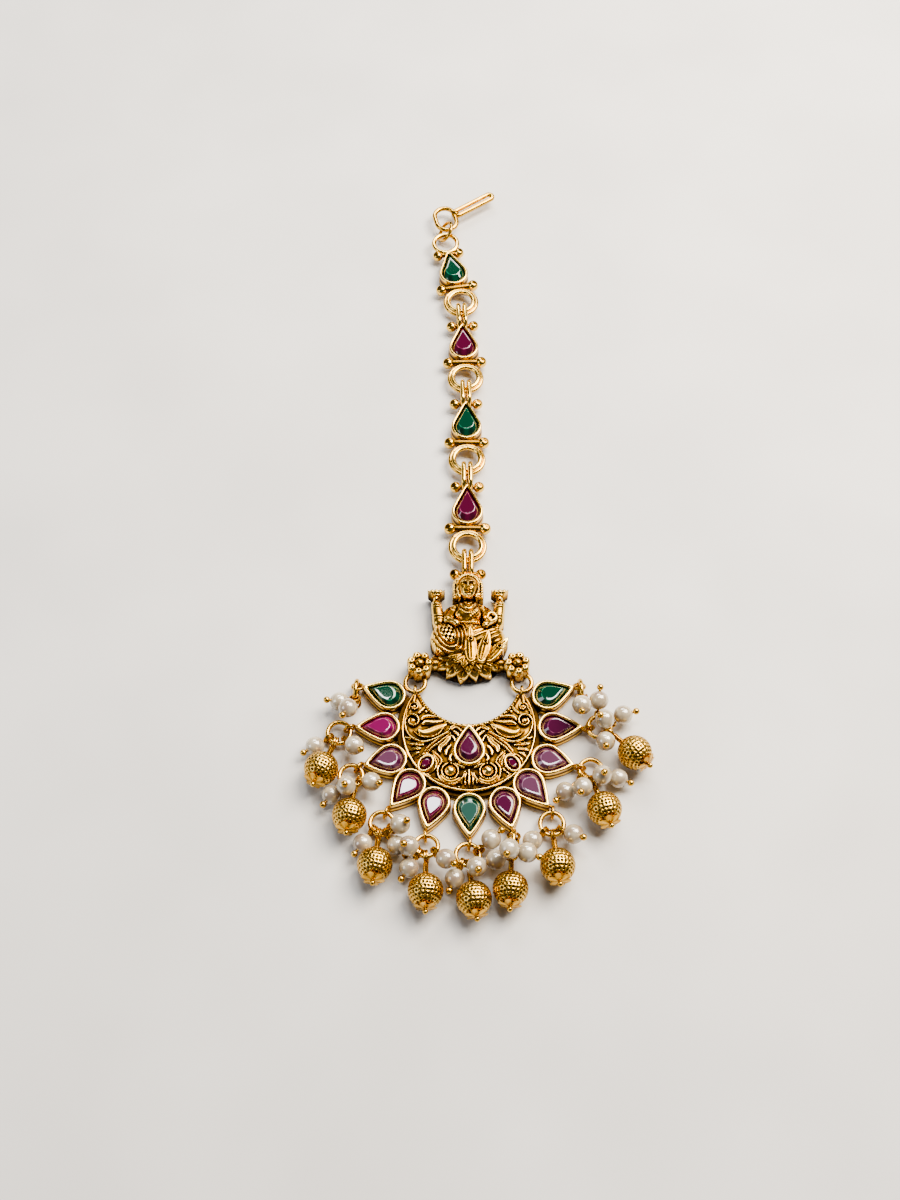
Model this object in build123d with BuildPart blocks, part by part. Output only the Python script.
"""Maang tikka: a forehead jewel on a short chain with a hair hook.

Frame: the origin is the middle of the crescent's outer circle, on its flat back.
+X is the wearer's left as the face is seen, +Y runs up the chain to the hook and
+Z comes out of the jewelled face. Millimetres and degrees.
"""

import os
from collections import namedtuple
from math import asin, atan2, cos, degrees, pi, radians, sin, sqrt

from build123d import *

# Crescent plate
PLATE_R = 8.4
PLATE_T = 1.15
BACKING_R = 8.95
BACKING_T = 0.8
HOLLOW_R = 6.6
HOLLOW_Y = 7.1
HORN_Y = 4.5
RIM_W = 0.42
RELIEF_TOP = 1.6
RELIEF_STEP = 0.12
SCROLL_W = 0.3

# Bezels and stones: the rim's wall, the pocket's floor and the heights of a stone
RIM = 0.42
TIP_RIM = 2.8
POCKET_Z = 0.5
BEZEL_H = 1.7
GIRDLE_Z = 1.15
GIRDLE_T = 0.15
TABLE_Z = 1.95
TABLE_SCALE = 0.6
CULET_SCALE = 0.7
SEAT_GAP = 0.05
SHOULDER = 66

# Drops: jump ring, pearl and ball with their pins
EYE_R, EYE_WIRE, EYE_OUT, EYE_Z = 0.68, 0.2, 0.6, 0.95
STEM_R, STEM_ROOT, STEM_Z = 0.22, 0.75, 0.9
JUMP_R, JUMP_WIRE = 1.42, 0.28
PEARL_R, PEARL_HOLE = 1.2, 0.26
PIN_R, PIN_WIRE, PIN_HEAD = 0.64, 0.14, 0.42
BALL_R, BALL_HOLE, BALL_REACH = 2.1, 0.32, 4.3
BALL_PIN_R, BALL_PIN_WIRE, BALL_SHAFT, BALL_NECK, BALL_HEAD = 0.66, 0.17, 0.2, 0.34, 0.34
CAP_LOBES, CAP_SPREAD, CAP_LOBE_R, CAP_UP = 6, 0.66, 0.42, 1.9
FLOOR_GAP = 0.04

# Chain
PITCH = 13.8
LINK_Z = 1.25
OUTER_R, OUTER_WIRE = 2.3, 0.27
INNER_R, INNER_WIRE, INNER_UP, RING_SOLDER = 1.82, 0.32, 0.25, 0.3
LINK_PEAR_L, LINK_PEAR_W, LINK_PEAR_START = 6.7, 4.2, 3.2
LINK_BEZEL_H = 1.9
BAIL_WIRE, BAIL_SPREAD, BAIL_HALF, BAIL_Z = 0.35, 0.45, 0.92, 1.4
BAIL_BEHIND_RING = 0.9
SHOT_R, SHOT_X, SHOT_BACK, SHOT_BAR_R = 0.8, 2.35, 0.4, 0.5
TOP_SHOT_R, TOP_SHOT_X, TOP_SHOT_BACK, TOP_SHOT_BAR_R = 0.75, 1.6, 0.55, 0.35

# Figure
FIGURE_RING_Y = 26.0
HORN_RING_R, HORN_RING_WIRE = 1.25, 0.3
HORN_RING_X, HORN_RING_Y, HORN_RING_Z = 6.72, 6.3, 0.95

# Hair hook
HOOK_WIRE = 0.35
TOP_RING_R, TOP_RING_WIRE, TOP_RING_Z = 1.75, 0.33, 1.45
LINKER_R, LINKER_WIRE, LINKER_TILT, LINKER_DY = 1.42, 0.26, 38, 2.4
HOOK_DY, HOOK_AXIS, HOOK_SLOPE = 4.9, 34, 7
EYE_LONG, EYE_WIDE, EYE_TURN = 4.3, 3.0, 70
PIN_START, PIN_LENGTH, PIN_WIDE, SOLDER_R = 1.7, 6.8, 1.0, 0.62

# Petal bezels: the tip's place, the way the tip points and the bezel's length and width
Petal = namedtuple("Petal", "name x y axis length width")
PETALS = [
    Petal("L1", -13.4, 5.6, 161.4, 5.75, 4.05),
    Petal("L2", -14.2, 0.1, 180, 5.7, 3.95),
    Petal("L3", -12.95, -4.95, 193, 5.5, 4.05),
    Petal("L4", -9.65, -10.4, 231, 5.9, 4.05),
    Petal("L5", -5.15, -13.2, 256, 5.6, 4.0),
    Petal("C", 0, -14.2, 270, 5.7, 4.0),
    Petal("R5", 5.15, -13.2, 284, 5.6, 4.0),
    Petal("R4", 9.65, -10.4, 309, 5.9, 4.05),
    Petal("R3", 12.95, -4.95, 347, 5.5, 4.05),
    Petal("R2", 14.2, 0.1, 0, 5.7, 3.95),
    Petal("R1", 13.4, 5.6, 18.6, 5.75, 4.05),
]

# Jump rings: the way each hangs from its petal's eye, its rise and its roll
Ring = namedtuple("Ring", "petal heading tilt roll")
RINGS = [
    Ring("L1", 265, 37, 90),
    Ring("L2", 205, 0, 0),
    Ring("L3", 232, 0, 0),
    Ring("L4", 250, 0, 0),
    Ring("L5", 275, 15, 0),
    Ring("C", 260, 10, 0),
    Ring("R5", 262, 37, 90),
    Ring("R4", 265, 0, 0),
    Ring("R3", 345, 0, 0),
    Ring("R2", 5, 10, 0),
    Ring("R1", 272, 37, 90),
]

# Gold balls: the place round the ring and the bearing in which the pin lies
Ball = namedtuple("Ball", "petal place bearing")
BALLS = [
    Ball("L2", 45, 250),
    Ball("L3", 58, 264),
    Ball("L4", 5, 266),
    Ball("L5", -5, 270),
    Ball("C", 14, 278),
    Ball("R5", -46, 267),
    Ball("R4", 10, 274),
    Ball("R3", -70, 286),
    Ball("R2", -34, 312),
]

# Pearls: the place round the ring, the pin's bearing, its rise and the pearl's distance
Pearl = namedtuple("Pearl", "petal place bearing lift reach")
PEARLS = [
    Pearl("L1", -62, 181, 20, 2.05),
    Pearl("L1", -10, 246, 30, 2.05),
    Pearl("L2", 5, 215, 8, 2.05),
    Pearl("L2", 105, 315, 40, 2.05),
    Pearl("L3", -14, 235, 10, 2.05),
    Pearl("L3", 24, 262, 75, 2.05),
    Pearl("L3", 104, 332, 45, 2.05),
    Pearl("L4", -30, 236, 8, 2.05),
    Pearl("L4", 42, 310, 10, 2.05),
    Pearl("L4", 80, 0, 60, 2.05),
    Pearl("L5", -45, 238, 5, 2.05),
    Pearl("L5", -82, 205, 70, 2.05),
    Pearl("L5", 45, 318, 35, 2.05),
    Pearl("C", -24, 248, 8, 2.05),
    Pearl("C", 46, 282, 62, 2.05),
    Pearl("C", 125, 36, 24, 2.05),
    Pearl("R5", -18, 203, -8, 2.05),
    Pearl("R5", 40, 250, 50, 2.4),
    Pearl("R5", 15, 332, 20, 2.05),
    Pearl("R4", -40, 222, 20, 2.05),
    Pearl("R4", 60, 325, 40, 2.05),
    Pearl("R3", -105, 251, 48, 2.6),
    Pearl("R3", -132, 225, 6, 2.95),
    Pearl("R3", -30, 290, 80, 2.05),
    Pearl("R3", 5, 335, 8, 2.05),
    Pearl("R2", 4, 186, 65, 2.05),
    Pearl("R2", 38, 12, 10, 2.05),
    Pearl("R2", -70, 265, 50, 2.05),
    Pearl("R2", 92, 84, 36, 2.05),
    Pearl("R1", 0, 264, 40, 2.05),
]

# Relief on the right half of the crescent, mirrored to the left
Scroll = namedtuple("Scroll", "x y radius start hand turns")
SCROLLS = [
    Scroll(6.45, 0.9, 0.95, 200, 1, 1),
    Scroll(6.55, 3.05, 0.5, 200, 1, 0),
    Scroll(2.2, -5.75, 1.25, 60, -1, 1),
]
Leaf = namedtuple("Leaf", "x y tip_x tip_y width")
LEAVES = [
    Leaf(2.2, -1.2, 5.0, 2.0, 0.85),
    Leaf(2.3, -1.8, 6.0, -0.3, 0.8),
    Leaf(2.3, -2.5, 6.7, -1.6, 0.7),
    Leaf(2.3, -3.2, 6.5, -3.0, 0.7),
    Leaf(1.3, 0.2, 3.9, 1.9, 0.7),
    Leaf(2.0, -3.9, 4.1, -5.2, 0.6),
    Leaf(0.4, -7.2, 3.3, -7.0, 0.55),
]
Boss = namedtuple("Boss", "x y radius")
BOSSES = [Boss(2.2, -5.75, 0.72), Boss(6.35, 1.0, 0.4), Boss(6.55, 3.05, 0.25)]
SIDE_X, SIDE_Y, SIDE_LENGTH, SIDE_WIDTH = 5.3, -4.75, 2.5, 1.9
SIDE_RIM, SIDE_TURN, SIDE_UP, SIDE_CORNERS = 0.32, 35, 0.1, 10
CENTRE_TIP_Y, CENTRE_LENGTH, CENTRE_WIDTH, CENTRE_UP = 0.45, 5.65, 4.0, 0.5

# Chain links from the figure to the hook: number and lean to the left
Link = namedtuple("Link", "number lean")
LINKS = [Link(4, 0), Link(3, 0.5), Link(2, 2.5), Link(1, 11.5)]

# Limbs of the seated figure: from one ball to another
Limb = namedtuple("Limb", "x1 y1 z1 r1 x2 y2 z2 r2")
LIMBS = [
    Limb(0, 12.6, 1.9, 1.75, 0, 15.2, 2.0, 1.75),  # trunk
    Limb(-1.45, 15.9, 1.9, 0.85, 1.45, 15.9, 1.9, 0.85),  # shoulders
    Limb(-0.75, 15.0, 3.1, 0.8, 0.75, 15.0, 3.1, 0.8),  # chest
    Limb(0, 16.2, 2.0, 0.75, 0, 17.6, 2.2, 0.8),  # neck
    Limb(0, 18.3, 2.4, 1.2, 0, 19.6, 2.4, 1.5),  # head
    Limb(-0.6, 11.9, 2.1, 1.7, -2.9, 11.4, 2.0, 1.75),  # right thigh
    Limb(0.6, 11.9, 2.1, 1.6, 3.0, 11.7, 2.0, 1.35),  # left thigh
    Limb(-3.0, 10.5, 2.5, 1.2, 0.3, 9.7, 3.0, 0.8),  # folded shin
    Limb(2.9, 10.9, 2.6, 1.15, 2.1, 8.2, 2.9, 0.75),  # hanging shin
    Limb(0.2, 12.6, 3.2, 0.7, 0.5, 8.9, 3.6, 0.45),  # sash end
    Limb(-2.1, 15.8, 1.7, 0.7, -3.5, 14.0, 1.6, 0.6),  # upper arms
    Limb(2.1, 15.8, 1.7, 0.7, 3.5, 14.0, 1.6, 0.6),
    Limb(-3.6, 14.1, 1.6, 0.6, -4.1, 17.2, 1.9, 0.45),  # raised forearms
    Limb(3.6, 14.1, 1.6, 0.6, 4.1, 17.2, 1.9, 0.45),
    Limb(-1.9, 15.6, 2.2, 0.6, -2.5, 13.6, 3.0, 0.5),  # lowered arms
    Limb(1.9, 15.6, 2.2, 0.6, 2.6, 13.6, 3.0, 0.5),
    Limb(-2.5, 13.6, 3.0, 0.5, -1.5, 12.8, 3.7, 0.42),
    Limb(2.6, 13.6, 3.0, 0.5, 2.2, 12.7, 3.6, 0.42),
    Limb(-4.1, 17.2, 1.9, 0.38, -4.1, 17.9, 1.9, 0.62),  # cups
    Limb(4.1, 17.2, 1.9, 0.38, 4.1, 17.9, 1.9, 0.62),
]
LotusRow = namedtuple("LotusRow", "petals radius length wide tip z start end")
LOTUS_ROWS = [
    LotusRow(7, 2.6, 1.6, 1.15, 0.35, 1.5, 195, 345),
    LotusRow(6, 2.0, 1.3, 1.1, 0.35, 2.5, 205, 335),
]
LOTUS_Y = 9.9
LOTUS_STRETCH = 1.16
ROSETTE_X, ROSETTE_Y, ROSETTE_Z, ROSETTE_R, ROSETTE_LOBES = 6.15, 8.3, 2.1, 0.78, 6
BEAD_X, BEAD_Y, BEAD_Z, BEAD_R, BEAD_BAR_R = 1.7, 21.6, 1.6, 0.72, 0.38
HALO_R, HALO_WIRE, HALO_Y, HALO_Z = 1.8, 0.3, 19.35, 1.9
CUP_X, CUP_Y, CUP_Z, CUP_R, CUP_T = 4.1, 18.3, 1.9, 1.15, 0.4


def flat(angle):
    """Unit vector in the back plane at an angle from +X."""
    return Vector(cos(radians(angle)), sin(radians(angle)), 0)


def rising(bearing, lift):
    """Unit vector at a bearing, rising from the back plane by an angle."""
    return flat(bearing) * cos(radians(lift)) + Vector(0, 0, sin(radians(lift)))


def petal_plane(tip_x, tip_y, axis, length, width):
    """Plane on the back with its origin at a pear's round end and +X towards its tip."""
    start = Vector(tip_x, tip_y) - flat(axis) * (length - width / 2)
    return Plane(origin=start, x_dir=flat(axis), z_dir=(0, 0, 1))


def pear_edges(length, width, shoulder=SHOULDER):
    """Upper side and round end of a pear about the origin, with its tip on +X."""
    radius = width / 2
    top = flat(shoulder) * radius
    side = TangentArc(top, (length - radius, 0), tangent=flat(shoulder - 90))
    back = ThreePointArc(top, (-radius, 0), flat(-shoulder) * radius)
    return side, back


def pear(length, width, shoulder=SHOULDER, mode=Mode.ADD):
    """Pear-shaped face in the present sketch."""
    with BuildSketch(mode=Mode.PRIVATE) as outline:
        with BuildLine():
            side, back = pear_edges(length, width, shoulder)
            mirror(side, about=Plane.XZ)
        make_face()
    return add(outline.sketch, mode=mode)


def pear_corners(length, width, shoulder=SHOULDER):
    """Thirteen corners round a cut pear, anticlockwise from the tip."""
    side, back = pear_edges(length, width, shoulder)
    upper = [side @ u for u in (1.0, 0.66, 0.33)]
    end = [back @ (k / 7) for k in range(8)]
    lower = [Vector(p.X, -p.Y) for p in reversed(upper[1:])]
    return upper + end + lower


def cut_stone(plane, length, width, shoulder=SHOULDER, up=0.0):
    """Pear-cut stone: a small culet, a girdle band, crown facets and a table."""
    corners = pear_corners(length, width, shoulder)
    middle = (length - width) / 2
    levels = [
        (POCKET_Z + SEAT_GAP, CULET_SCALE),
        (GIRDLE_Z, 1.0),
        (GIRDLE_Z + GIRDLE_T, 1.0),
        (TABLE_Z, TABLE_SCALE),
    ]
    with BuildPart() as stone:
        for height, size in levels:
            with BuildSketch(plane.offset(height + up)):
                with BuildLine():
                    spots = [(middle + (p.X - middle) * size, p.Y * size) for p in corners]
                    Polyline(*spots, close=True)
                make_face()
        loft(ruled=True)
    return stone


def pocket_size(length, width):
    """Length and width of the pocket inside a pear bezel."""
    return length - TIP_RIM * RIM, width - 2 * RIM


def ring_frame(ring):
    """Eye, middle and the two directions of a jump ring: outward and along the eye's wire."""
    petal = next(p for p in PETALS if p.name == ring.petal)
    eye = Vector(petal.x, petal.y, EYE_Z) + flat(petal.axis) * EYE_OUT
    out = rising(ring.heading, ring.tilt)
    side = flat(ring.heading + 90)
    along = side * cos(radians(ring.roll)) + out.cross(side) * sin(radians(ring.roll))
    return eye, eye + out * JUMP_R, out, along


def hanger(item, lift):
    """Loop plane and shaft plane of a pin that hangs at a place on its jump ring."""
    ring = next(r for r in RINGS if r.petal == item.petal)
    _, middle, out, along = ring_frame(ring)
    place = radians(item.place)
    start = middle + (out * cos(place) + along * sin(place)) * JUMP_R
    wire = along * cos(place) - out * sin(place)
    way = rising(item.bearing, lift)
    loop = Plane(origin=start, x_dir=way, z_dir=wire - way * wire.dot(way))
    return loop, Plane(origin=start, z_dir=way)


def ball_lift(item):
    """Rise of a ball's pin that lets the ball rest on the floor."""
    loop, _ = hanger(item, 0)
    return degrees(atan2(BALL_R + FLOOR_GAP - loop.origin.Z, sqrt(BALL_REACH**2 - BALL_R**2)))


def limb(row):
    """Tapered limb with a rounded end about each of its two points."""
    start, end = Vector(row.x1, row.y1, row.z1), Vector(row.x2, row.y2, row.z2)
    length, way = (end - start).length, (end - start).normalized()
    side = way.cross(Vector(0.1, 0.2, 1)).normalized()
    rise = asin((row.r1 - row.r2) / length)
    with BuildPart(mode=Mode.PRIVATE) as piece:
        with BuildSketch(Plane(origin=start, x_dir=side, z_dir=side.cross(way))):
            with BuildLine():
                low = (row.r1 * cos(rise), row.r1 * sin(rise))
                high = (row.r2 * cos(rise), length + row.r2 * sin(rise))
                bend = (rise - pi / 2) / 2
                ThreePointArc((0, -row.r1), (row.r1 * cos(bend), row.r1 * sin(bend)), low)
                Line(low, high)
                bend = (rise + pi / 2) / 2
                crown = (row.r2 * cos(bend), length + row.r2 * sin(bend))
                ThreePointArc(high, crown, (0, length + row.r2))
                Line((0, length + row.r2), (0, -row.r1))
            make_face()
        revolve(axis=Axis(start, way))
    return piece.part


def twin_bail(frame, start, ring_at):
    """Two upright wire loops from a bezel's tip round the next link's ring."""
    first = start + BAIL_HALF
    last = ring_at - BAIL_BEHIND_RING - BAIL_HALF
    for side in (-BAIL_SPREAD, BAIL_SPREAD):
        plane = Plane(
            origin=frame.from_local_coords(Vector(side, (first + last) / 2, BAIL_Z)),
            x_dir=frame.y_dir,
            z_dir=frame.x_dir,
        )
        half = (last - first) / 2
        with BuildLine(plane) as path:
            Line((-half, BAIL_HALF), (half, BAIL_HALF))
            ThreePointArc((half, BAIL_HALF), (half + BAIL_HALF, 0), (half, -BAIL_HALF))
            Line((half, -BAIL_HALF), (-half, -BAIL_HALF))
            ThreePointArc((-half, -BAIL_HALF), (-half - BAIL_HALF, 0), (-half, BAIL_HALF))
        middle = plane.from_local_coords(Vector(0, BAIL_HALF, 0))
        with BuildSketch(Plane(origin=middle, z_dir=plane.x_dir)) as section:
            Circle(BAIL_WIRE)
        sweep(section.sketch, path=path.wire())


def double_ring(frame):
    """Stacked pair of wire rings at a link's origin, turned from one joined section."""
    plane = Plane(origin=frame.from_local_coords(Vector(0, 0, LINK_Z)), x_dir=frame.x_dir, z_dir=-frame.y_dir)
    with BuildSketch(plane) as section:
        with Locations((OUTER_R, 0)):
            Circle(OUTER_WIRE)
        with Locations((INNER_R, INNER_UP)):
            Circle(INNER_WIRE)
        with Locations(((OUTER_R + INNER_R) / 2, INNER_UP / 2)):
            Rectangle(OUTER_R - INNER_R, RING_SOLDER, rotation=-degrees(atan2(INNER_UP, OUTER_R - INNER_R)))
    revolve(section.sketch, axis=Axis(plane.origin, plane.y_dir))


def shot_bar(frame, spot, reach, radius, bar):
    """Pair of shot beads on a short bar, turned about a frame's X direction at a spot."""
    middle = frame.from_local_coords(spot)
    with BuildSketch(Plane(origin=middle, x_dir=frame.x_dir, z_dir=frame.y_dir)) as section:
        with Locations((-reach, 0), (reach, 0)):
            Circle(radius)
        Rectangle(2 * reach, 2 * bar)
        Rectangle(4 * reach, 2 * radius, align=(Align.CENTER, Align.MAX), mode=Mode.SUBTRACT)
    revolve(section.sketch, axis=Axis(middle, frame.x_dir))


def link_frame(link):
    """Plane at a link's ring, with +Y up the link."""
    spot = Vector(0, FIGURE_RING_Y)
    for row in LINKS:
        if row is link:
            break
        spot += flat(90 + row.lean) * PITCH
    return Plane(origin=spot, x_dir=flat(link.lean), z_dir=(0, 0, 1))


def link_pear_plane(frame):
    """Plane at the round end of a link's pear, with +X towards its tip."""
    start = frame.from_local_coords(Vector(0, LINK_PEAR_START + LINK_PEAR_W / 2, 0))
    return Plane(origin=start, x_dir=frame.y_dir, z_dir=(0, 0, 1))


def chain_link(link):
    """Double ring, pear bezel, four shot beads and a twin bail, soldered into one piece."""
    frame = link_frame(link)
    bezel = link_pear_plane(frame)
    tip = LINK_PEAR_START + LINK_PEAR_L
    with BuildPart() as piece:
        double_ring(frame)
        with BuildSketch(bezel):
            pear(LINK_PEAR_L, LINK_PEAR_W, 64)
        extrude(amount=LINK_BEZEL_H)
        shot_bar(frame, Vector(0, LINK_PEAR_START - SHOT_BACK, LINK_Z), SHOT_X, SHOT_R, SHOT_BAR_R)
        shot_bar(frame, Vector(0, tip - TOP_SHOT_BACK, LINK_Z), TOP_SHOT_X, TOP_SHOT_R, TOP_SHOT_BAR_R)
        if link.number > 1:
            twin_bail(frame, tip - 0.7, PITCH)
        else:
            with Locations(frame.location * Location((0, tip + TOP_RING_R - 0.3, TOP_RING_Z))):
                Torus(TOP_RING_R, TOP_RING_WIRE)
        with BuildSketch(bezel.offset(POCKET_Z)):
            pear(*pocket_size(LINK_PEAR_L, LINK_PEAR_W), 64)
        extrude(amount=LINK_BEZEL_H * 2, mode=Mode.SUBTRACT)
    return piece


def chain_stone(link):
    """Stone of one chain link."""
    length, width = pocket_size(LINK_PEAR_L, LINK_PEAR_W)
    plane = link_pear_plane(link_frame(link))
    return cut_stone(plane, length - 3 * SEAT_GAP, width - 2 * SEAT_GAP, 64, LINK_BEZEL_H - BEZEL_H)


def top_ring_spot():
    """Middle of the flat ring at the hook end of the last link."""
    frame = link_frame(LINKS[-1])
    return frame.from_local_coords(Vector(0, LINK_PEAR_START + LINK_PEAR_L + TOP_RING_R - 0.3, TOP_RING_Z))


def crescent_face(outer, hollow, longer=0.0):
    """Crescent between two circles, with blunt horns that may run longer."""
    with BuildSketch() as face:
        Circle(outer)
        with Locations((0, HOLLOW_Y)):
            Circle(hollow, mode=Mode.SUBTRACT)
        with Locations((0, HORN_Y + longer)):
            Rectangle(3 * PLATE_R, PLATE_R, align=(Align.CENTER, Align.MIN), mode=Mode.SUBTRACT)
    return face.sketch


def scroll_face(row):
    """Flat scroll of shrinking half turns about a point."""
    spot, radius, angle = Vector(row.x, row.y), row.radius, row.start
    with BuildSketch(mode=Mode.PRIVATE) as face:
        with BuildLine():
            for _ in range(row.turns + 1):
                CenterArc(spot, radius, angle, 180 * row.hand)
                shrink = radius * 0.3
                spot += flat(angle + 180) * shrink
                radius -= shrink
                angle += 180
        trace(line_width=SCROLL_W)
    return face.sketch


def leaf_face(row):
    """Pointed leaf from its stem to its tip."""
    stem, tip = Vector(row.x, row.y), Vector(row.tip_x, row.tip_y)
    middle = (stem + tip) / 2
    across = (tip - stem).normalized().rotate(Axis.Z, 90) * (row.width / 2)
    with BuildSketch(mode=Mode.PRIVATE) as face:
        with BuildLine():
            ThreePointArc(stem, middle + across, tip)
            ThreePointArc(tip, middle - across, stem)
        make_face()
    return face.sketch


def wire_eye(plane):
    """Small eye of flat wire about a plane's origin, in the present part."""
    with BuildSketch(plane) as face:
        Circle(EYE_R + EYE_WIRE)
        Circle(EYE_R - EYE_WIRE, mode=Mode.SUBTRACT)
    extrude(face.sketch, amount=EYE_WIRE, both=True)


def relief_face(inside):
    """Scrolls and leaves of both halves, kept inside the crescent's rims."""
    with BuildSketch() as face:
        for row in SCROLLS:
            add(scroll_face(row))
        for row in LEAVES:
            add(leaf_face(row))
        mirror(about=Plane.YZ)
        add(inside, mode=Mode.INTERSECT)
    return face.sketch


def crescent_piece():
    """Crescent with relief, eleven petal bezels and their eyes, and three bezels on its face."""
    planes = [petal_plane(p.x, p.y, p.axis, p.length, p.width) for p in PETALS]
    centre = petal_plane(0, CENTRE_TIP_Y, 90, CENTRE_LENGTH, CENTRE_WIDTH)
    horns = [Vector(side * HORN_RING_X, HORN_RING_Y - HORN_RING_R, HORN_RING_Z) for side in (-1, 1)]
    with BuildPart() as piece:
        with BuildSketch():
            add(crescent_face(PLATE_R, HOLLOW_R))
        extrude(amount=PLATE_T)
        with BuildSketch():
            Circle(BACKING_R)
            Circle(PLATE_R - 1, mode=Mode.SUBTRACT)
            with Locations((0, HORN_Y)):
                Rectangle(3 * PLATE_R, PLATE_R, align=(Align.CENTER, Align.MIN), mode=Mode.SUBTRACT)
        extrude(amount=BACKING_T)
        with BuildSketch(Plane.XY.offset(BACKING_T / 2)):
            add(crescent_face(PLATE_R - 0.04, HOLLOW_R + 0.04))
            add(crescent_face(PLATE_R - RIM_W, HOLLOW_R + RIM_W, 1), mode=Mode.SUBTRACT)
        extrude(amount=RELIEF_TOP - BACKING_T / 2)
        with BuildSketch(Plane.XY.offset(BACKING_T / 2)):
            add(relief_face(crescent_face(PLATE_R - RIM_W / 2, HOLLOW_R + RIM_W / 2, -0.2)))
        extrude(amount=RELIEF_TOP - RELIEF_STEP - BACKING_T / 2)
        for boss in BOSSES:
            with Locations((boss.x, boss.y, RELIEF_TOP - 0.27), (-boss.x, boss.y, RELIEF_TOP - 0.27)):
                Sphere(boss.radius)
        with BuildSketch():
            for petal, plane in zip(PETALS, planes):
                with Locations(plane.location):
                    pear(petal.length, petal.width)
        extrude(amount=BEZEL_H)
        with BuildSketch():
            with Locations(centre.location):
                pear(CENTRE_LENGTH, CENTRE_WIDTH)
        extrude(amount=BEZEL_H + CENTRE_UP)
        with BuildSketch():
            for side in (-1, 1):
                with Locations(Location((side * SIDE_X, SIDE_Y, 0), (0, 0, side * SIDE_TURN))):
                    Ellipse(SIDE_WIDTH / 2, SIDE_LENGTH / 2)
        extrude(amount=BEZEL_H + SIDE_UP)
        for ring, petal in zip(RINGS, PETALS):
            eye, _, out, along = ring_frame(ring)
            wire_eye(Plane(origin=eye, x_dir=out, z_dir=along))
            rim = eye - out * EYE_R
            root = Vector(petal.x, petal.y, STEM_Z) - flat(petal.axis) * STEM_ROOT
            with Locations(Plane(origin=rim, z_dir=root - rim)):
                Cylinder(STEM_R, (root - rim).length, align=(Align.CENTER, Align.CENTER, Align.MIN))
        for horn in horns:
            wire_eye(Plane(origin=horn, x_dir=(0, 1, 0), z_dir=(1, 0, 0)))
        with BuildSketch(Plane.XY.offset(POCKET_Z)):
            for petal, plane in zip(PETALS, planes):
                with Locations(plane.location):
                    pear(*pocket_size(petal.length, petal.width))
            for side in (-1, 1):
                with Locations(Location((side * SIDE_X, SIDE_Y, 0), (0, 0, side * SIDE_TURN))):
                    Ellipse(SIDE_WIDTH / 2 - SIDE_RIM, SIDE_LENGTH / 2 - SIDE_RIM)
        extrude(amount=BEZEL_H * 2, mode=Mode.SUBTRACT)
        with BuildSketch(Plane.XY.offset(POCKET_Z + CENTRE_UP)):
            with Locations(centre.location):
                pear(*pocket_size(CENTRE_LENGTH, CENTRE_WIDTH))
        extrude(amount=BEZEL_H * 2, mode=Mode.SUBTRACT)
    return piece


def lotus_petals():
    """Rows of pointed petals that fan out below the seated figure."""
    rows = []
    for row in LOTUS_ROWS:
        for k in range(row.petals):
            angle = row.start + (row.end - row.start) * k / (row.petals - 1)
            way = Vector(cos(radians(angle)) * LOTUS_STRETCH, sin(radians(angle)))
            root, point = way * row.radius, way * (row.radius + row.length)
            base, top = (root.X, LOTUS_Y + root.Y, row.z), (point.X, LOTUS_Y + point.Y, row.z)
            rows.append(Limb(*base, row.wide, *top, row.tip))
    return rows


def figure_piece():
    """Seated figure on a lotus, cast in one with its bail, shot beads and rosettes."""
    bodies = [limb(row) for row in LIMBS + lotus_petals()]
    with BuildPart() as piece:
        add(bodies)
        shot_bar(Plane.XY, Vector(0, BEAD_Y, BEAD_Z), BEAD_X, BEAD_R, BEAD_BAR_R)
        with Locations(Location((0, HALO_Y, HALO_Z))):
            Torus(HALO_R, HALO_WIRE)
        for side in (-1, 1):
            with Locations(Location((side * CUP_X, CUP_Y, CUP_Z), (-90, 0, 0))):
                Cylinder(CUP_R, CUP_T)
            with Locations((side * ROSETTE_X, ROSETTE_Y, ROSETTE_Z + 0.3)):
                Sphere(ROSETTE_R)
                with PolarLocations(ROSETTE_R * 1.2, ROSETTE_LOBES, start_angle=20):
                    Sphere(ROSETTE_R * 0.78)
            with Locations((side * (ROSETTE_X - 1.6), ROSETTE_Y + 0.4, ROSETTE_Z)):
                Box(2.0, 1.0, 1.0)
            spot = Vector(side * HORN_RING_X, HORN_RING_Y + HORN_RING_R, HORN_RING_Z)
            wire_eye(Plane(origin=spot, x_dir=(0, 1, 0), z_dir=(1, 0, 0)))
            with Locations((side * HORN_RING_X, HORN_RING_Y + HORN_RING_R + 0.1, ROSETTE_Z - 0.2)):
                Box(0.5, 0.7, 0.6)
        twin_bail(Plane.XY, BEAD_Y - 0.2, FIGURE_RING_Y)
        with Locations((0, LOTUS_Y, 0)):
            Box(30, 60, 10, align=(Align.CENTER, Align.CENTER, Align.MAX), mode=Mode.SUBTRACT)
    return piece


def ring_piece(plane, radius, wire):
    """Plain jump ring."""
    with BuildPart() as piece:
        with Locations(plane):
            Torus(radius, wire)
    return piece


def hook_frame():
    """Plane of the hair hook: its eye's middle, +X along the hairpin, sloping to the floor."""
    eye = top_ring_spot() + Vector(0, HOOK_DY, 0)
    way = rising(HOOK_AXIS, -HOOK_SLOPE)
    return Plane(origin=eye, x_dir=way, z_dir=Vector(0, 0, 1) - way * way.Z)


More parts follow.
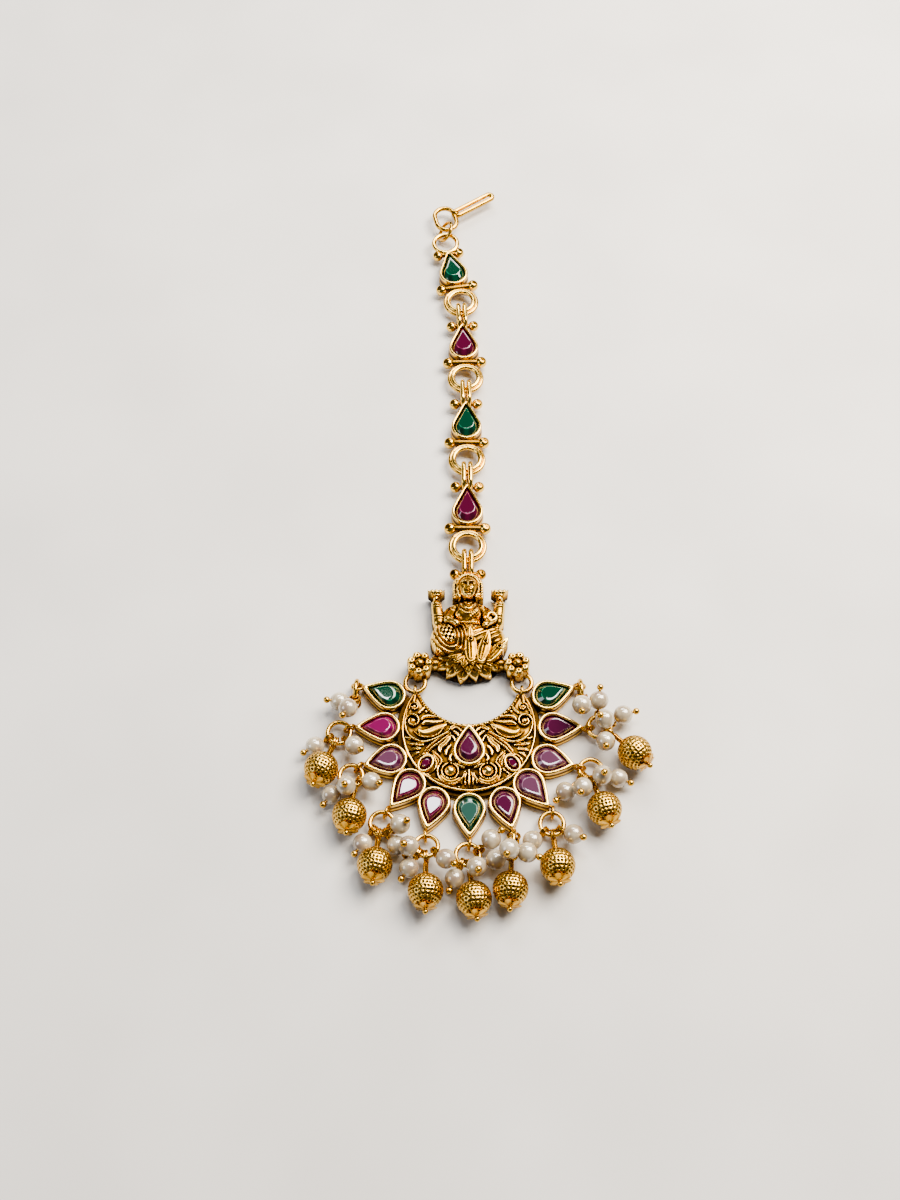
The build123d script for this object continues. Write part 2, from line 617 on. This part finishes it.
def wire_oval(plane, length, width, turn=0.0):
    """Closed oval of round wire, in the present part."""
    with BuildLine(plane.rotated((0, 0, turn))) as path:
        FilletPolyline(
            (-length / 2, -width / 2),
            (length / 2, -width / 2),
            (length / 2, width / 2),
            (-length / 2, width / 2),
            radius=width / 2 - 0.02,
            close=True,
        )
    edge = path.edges().sort_by(SortBy.LENGTH)[-1]
    with BuildSketch(Plane(origin=edge @ 0.5, z_dir=edge % 0.5)) as section:
        Circle(HOOK_WIRE)
    sweep(section.sketch, path=path.wire())


def hook_piece():
    """Hair hook: an oval eye soldered to a long narrow loop of wire."""
    frame = hook_frame()
    pin_middle = frame.from_local_coords(Vector(PIN_START + PIN_LENGTH / 2, 0, 0))
    pin = Plane(pin_middle, x_dir=frame.x_dir, z_dir=frame.z_dir)
    with BuildPart() as piece:
        wire_oval(frame, EYE_LONG, EYE_WIDE, EYE_TURN)
        wire_oval(pin, PIN_LENGTH, PIN_WIDE)
        with Locations(frame.location * Location((PIN_START + 0.1, 0, 0))):
            Sphere(SOLDER_R)
    return piece


def pearl_piece(item):
    """Pearl drilled along its pin."""
    _, shaft = hanger(item, item.lift)
    with BuildPart() as piece:
        with Locations(shaft.offset(item.reach)):
            Sphere(PEARL_R)
            Cylinder(PEARL_HOLE, 3 * PEARL_R, mode=Mode.SUBTRACT)
    return piece


def pearl_pin(item):
    """Looped pin with a ball head that carries one pearl."""
    loop, shaft = hanger(item, item.lift)
    head = item.reach + PEARL_R + PIN_HEAD + FLOOR_GAP
    with BuildPart() as piece:
        with Locations(loop):
            Torus(PIN_R, PIN_WIRE)
        with Locations(shaft.offset(PIN_R)):
            Cylinder(PIN_WIRE + 0.02, head - PIN_R, align=(Align.CENTER, Align.CENTER, Align.MIN))
        with Locations(shaft.offset(head)):
            Sphere(PIN_HEAD)
    return piece


def ball_piece(item):
    """Hollow-bead ball, drilled along its pin, with a cap of petals at its outer end."""
    _, shaft = hanger(item, ball_lift(item))
    with BuildPart() as piece:
        with Locations(shaft.offset(BALL_REACH)):
            Sphere(BALL_R)
        with Locations(shaft.offset(BALL_REACH + CAP_UP)):
            with PolarLocations(CAP_SPREAD, CAP_LOBES):
                Sphere(CAP_LOBE_R)
        with Locations(shaft.offset(BALL_REACH)):
            Cylinder(BALL_HOLE, 4 * BALL_R, mode=Mode.SUBTRACT)
    return piece


def ball_pin(item):
    """Looped pin with a wrapped neck and a ball head that carries one gold ball."""
    loop, shaft = hanger(item, ball_lift(item))
    head = BALL_REACH + BALL_R + BALL_HEAD + 0.15
    neck_end = BALL_REACH - BALL_R - FLOOR_GAP
    with BuildPart() as piece:
        with Locations(loop):
            Torus(BALL_PIN_R, BALL_PIN_WIRE)
        with Locations(shaft.offset(BALL_PIN_R)):
            Cylinder(BALL_SHAFT, head - BALL_PIN_R, align=(Align.CENTER, Align.CENTER, Align.MIN))
        with Locations(shaft.offset(BALL_PIN_R + 0.2)):
            Cylinder(BALL_NECK, neck_end - BALL_PIN_R - 0.2, align=(Align.CENTER, Align.CENTER, Align.MIN))
        with Locations(shaft.offset(head)):
            Sphere(BALL_HEAD)
    return piece


def petal_stone(petal):
    """Stone of one petal bezel."""
    length, width = pocket_size(petal.length, petal.width)
    plane = petal_plane(petal.x, petal.y, petal.axis, petal.length, petal.width)
    return cut_stone(plane, length - 3 * SEAT_GAP, width - 2 * SEAT_GAP)


def side_stone(side):
    """Small oval stone beside the scrolls: a ten-sided girdle, crown and table."""
    across, along = SIDE_WIDTH / 2 - SIDE_RIM - SEAT_GAP, SIDE_LENGTH / 2 - SIDE_RIM - SEAT_GAP
    base = Plane.XY.rotated((0, 0, side * SIDE_TURN))
    base.origin = (side * SIDE_X, SIDE_Y, 0)
    with BuildPart() as piece:
        for height, size in ((POCKET_Z + SEAT_GAP, 0.8), (GIRDLE_Z + 0.3, 1.0), (TABLE_Z, TABLE_SCALE)):
            turns = [2 * pi * k / SIDE_CORNERS for k in range(SIDE_CORNERS)]
            with BuildSketch(base.offset(height)):
                with BuildLine():
                    Polyline(*[(across * size * cos(a), along * size * sin(a)) for a in turns], close=True)
                make_face()
        loft(ruled=True)
    return piece


def compound(name, pieces):
    """Several loose solids that make one node."""
    return name, Compound(children=[p.part for p in pieces])


def jump_ring(ring):
    """Jump ring that hangs in a petal's eye."""
    _, middle, out, along = ring_frame(ring)
    return ring_piece(Plane(origin=middle, x_dir=out, z_dir=out.cross(along)), JUMP_R, JUMP_WIRE)


def main():
    """Make every piece and write it to its own file."""
    os.makedirs("parts", exist_ok=True)
    pieces = [("crescent_setting", crescent_piece().part), ("seated_figure", figure_piece().part)]
    for link in LINKS:
        pieces.append((f"chain_link_{link.number}", chain_link(link).part))
        pieces.append((f"chain_stone_{link.number}", chain_stone(link).part))
    for number, petal in enumerate(PETALS, 1):
        pieces.append((f"petal_stone_{number}", petal_stone(petal).part))
    centre = petal_plane(0, CENTRE_TIP_Y, 90, CENTRE_LENGTH, CENTRE_WIDTH)
    length, width = pocket_size(CENTRE_LENGTH, CENTRE_WIDTH)
    stone = cut_stone(centre, length - 3 * SEAT_GAP, width - 2 * SEAT_GAP, SHOULDER, CENTRE_UP)
    pieces.append(("centre_stone", stone.part))
    for name, side in (("left", -1), ("right", 1)):
        pieces.append((f"side_stone_{name}", side_stone(side).part))
        horn_ring = Plane((side * HORN_RING_X, HORN_RING_Y, HORN_RING_Z))
        pieces.append((f"horn_ring_{name}", ring_piece(horn_ring, HORN_RING_R, HORN_RING_WIRE).part))
    for number, ball in enumerate(BALLS, 1):
        pieces.append((f"drop_ball_{number}", ball_piece(ball).part))
    pieces.append(compound("ball_pins", [ball_pin(b) for b in BALLS]))
    pieces.append(compound("drop_rings", [jump_ring(r) for r in RINGS]))
    pieces.append(compound("pearls", [pearl_piece(p) for p in PEARLS]))
    pieces.append(compound("pearl_pins", [pearl_pin(p) for p in PEARLS]))
    linker = Plane(top_ring_spot() + Vector(0, LINKER_DY, 0), z_dir=rising(180, LINKER_TILT))
    pieces.append(("hook_ring", ring_piece(linker, LINKER_R, LINKER_WIRE).part))
    pieces.append(("hair_hook", hook_piece().part))
    for name, part in pieces:
        part.label = name
        export_step(part, f"parts/{name}.step")


main()
